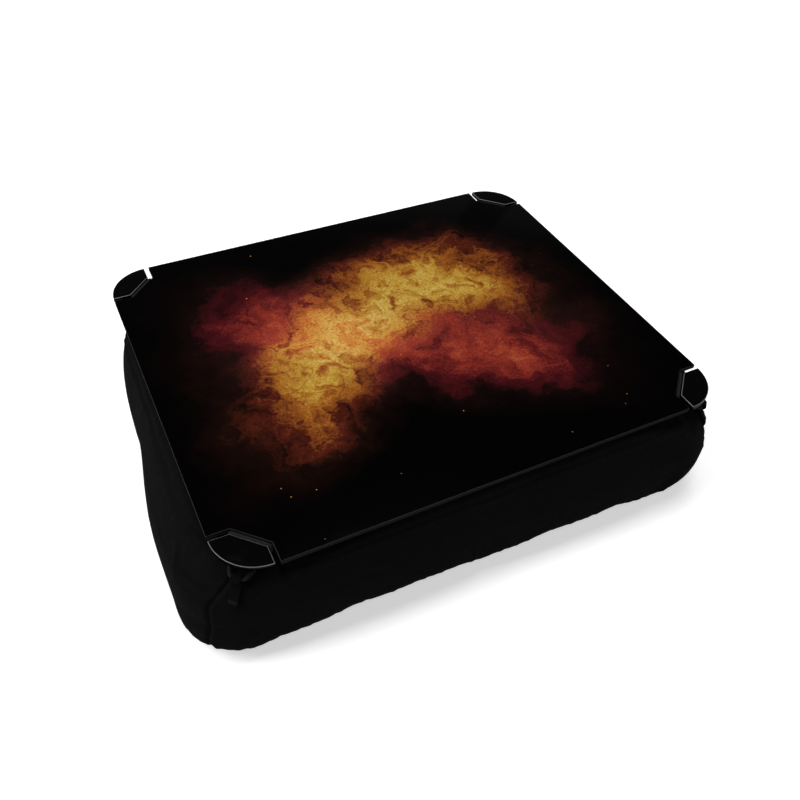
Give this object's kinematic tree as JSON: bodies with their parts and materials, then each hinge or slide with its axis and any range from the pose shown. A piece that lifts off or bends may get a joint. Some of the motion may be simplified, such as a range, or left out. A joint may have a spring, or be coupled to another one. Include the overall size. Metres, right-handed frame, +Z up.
{
  "type": "lap tray",
  "caption": "Lap tray: a thin printed board with capped corners, tied by elastic loops to a bead-filled cushion with a zipped cover.",
  "frame": {"origin": "on the surface that the cushion stands on, under the middle of the board", "axes": "+X along the front edge to the right, +Y from the front to the zip at the back, +Z up"},
  "size_m": [0.424, 0.3646, 0.098],
  "materials": {
    "board_core": "matt fibreboard edge",
    "print_film": "printed film, satin",
    "backing_sheet": "matt balancing sheet",
    "corner_caps": "moulded, glossy",
    "screws": "zinc plated",
    "elastic": "braided round elastic",
    "webbing": "woven webbing",
    "cover_cloth": "plain woven polyester",
    "liner_cloth": "thin non-woven",
    "beads": "expanded polystyrene beads",
    "zip_teeth": "moulded teeth",
    "zip_tape": "woven tape",
    "zip_metal": "black enamelled zinc"
  },
  "bodies": {
    "cushion": {"liner_bag": "liner_cloth", "bead_fill": "beads", "zip_teeth_upper": "zip_teeth", "zip_teeth_lower": "zip_teeth", "zip_tape_upper": "zip_tape", "zip_tape_lower": "zip_tape", "zip_top_stops": "zip_metal", "zip_bottom_stop": "zip_metal", "elastic_loop_front_left": "elastic", "elastic_loop_front_right": "elastic", "elastic_loop_back_left": "elastic", "elastic_loop_back_right": "elastic", "elastic_tab_front_left": "webbing", "elastic_tab_front_right": "webbing", "elastic_tab_back_left": "webbing", "elastic_tab_back_right": "webbing", "cover_top_panel": "cover_cloth", "cover_bottom_panel": "cover_cloth", "cover_front_panel": "cover_cloth", "cover_left_panel": "cover_cloth", "cover_right_panel": "cover_cloth", "cover_back_panel_left": "cover_cloth", "cover_back_panel_right": "cover_cloth", "zip_panel_upper": "cover_cloth", "zip_panel_lower": "cover_cloth"},
    "tray": {"board_core": "board_core", "print_sheet": "print_film", "backing_sheet": "backing_sheet", "corner_cap_front_left": "corner_caps", "corner_cap_front_right": "corner_caps", "corner_cap_back_left": "corner_caps", "corner_cap_back_right": "corner_caps", "cap_screws": "screws"},
    "zip_slider": {"zip_slider": "zip_metal"},
    "zip_pull": {"zip_pull": "zip_metal"}
  },
  "joints": [
    {"name": "tray_lift", "type": "slide", "parent": "cushion", "child": "tray", "axis": [0, 0, 1], "range_m": [0, 0.04], "stiffness_N_per_m": 240, "springref_m": -0.01, "deforming": ["elastic_loop_front_left", "elastic_loop_front_right", "elastic_loop_back_left", "elastic_loop_back_right"]},
    {"name": "zip_slide", "type": "slide", "parent": "cushion", "child": "zip_slider", "axis": [-1, 0, 0], "range_m": [0, 0.284], "deforming": ["zip_teeth_upper", "zip_teeth_lower"]},
    {"name": "zip_pull_swing", "type": "hinge", "parent": "zip_slider", "child": "zip_pull", "pos_m": [0.1421, 0.1819, 0.045], "axis": [0, 0, -1], "range_deg": [0, 180]}
  ]
}
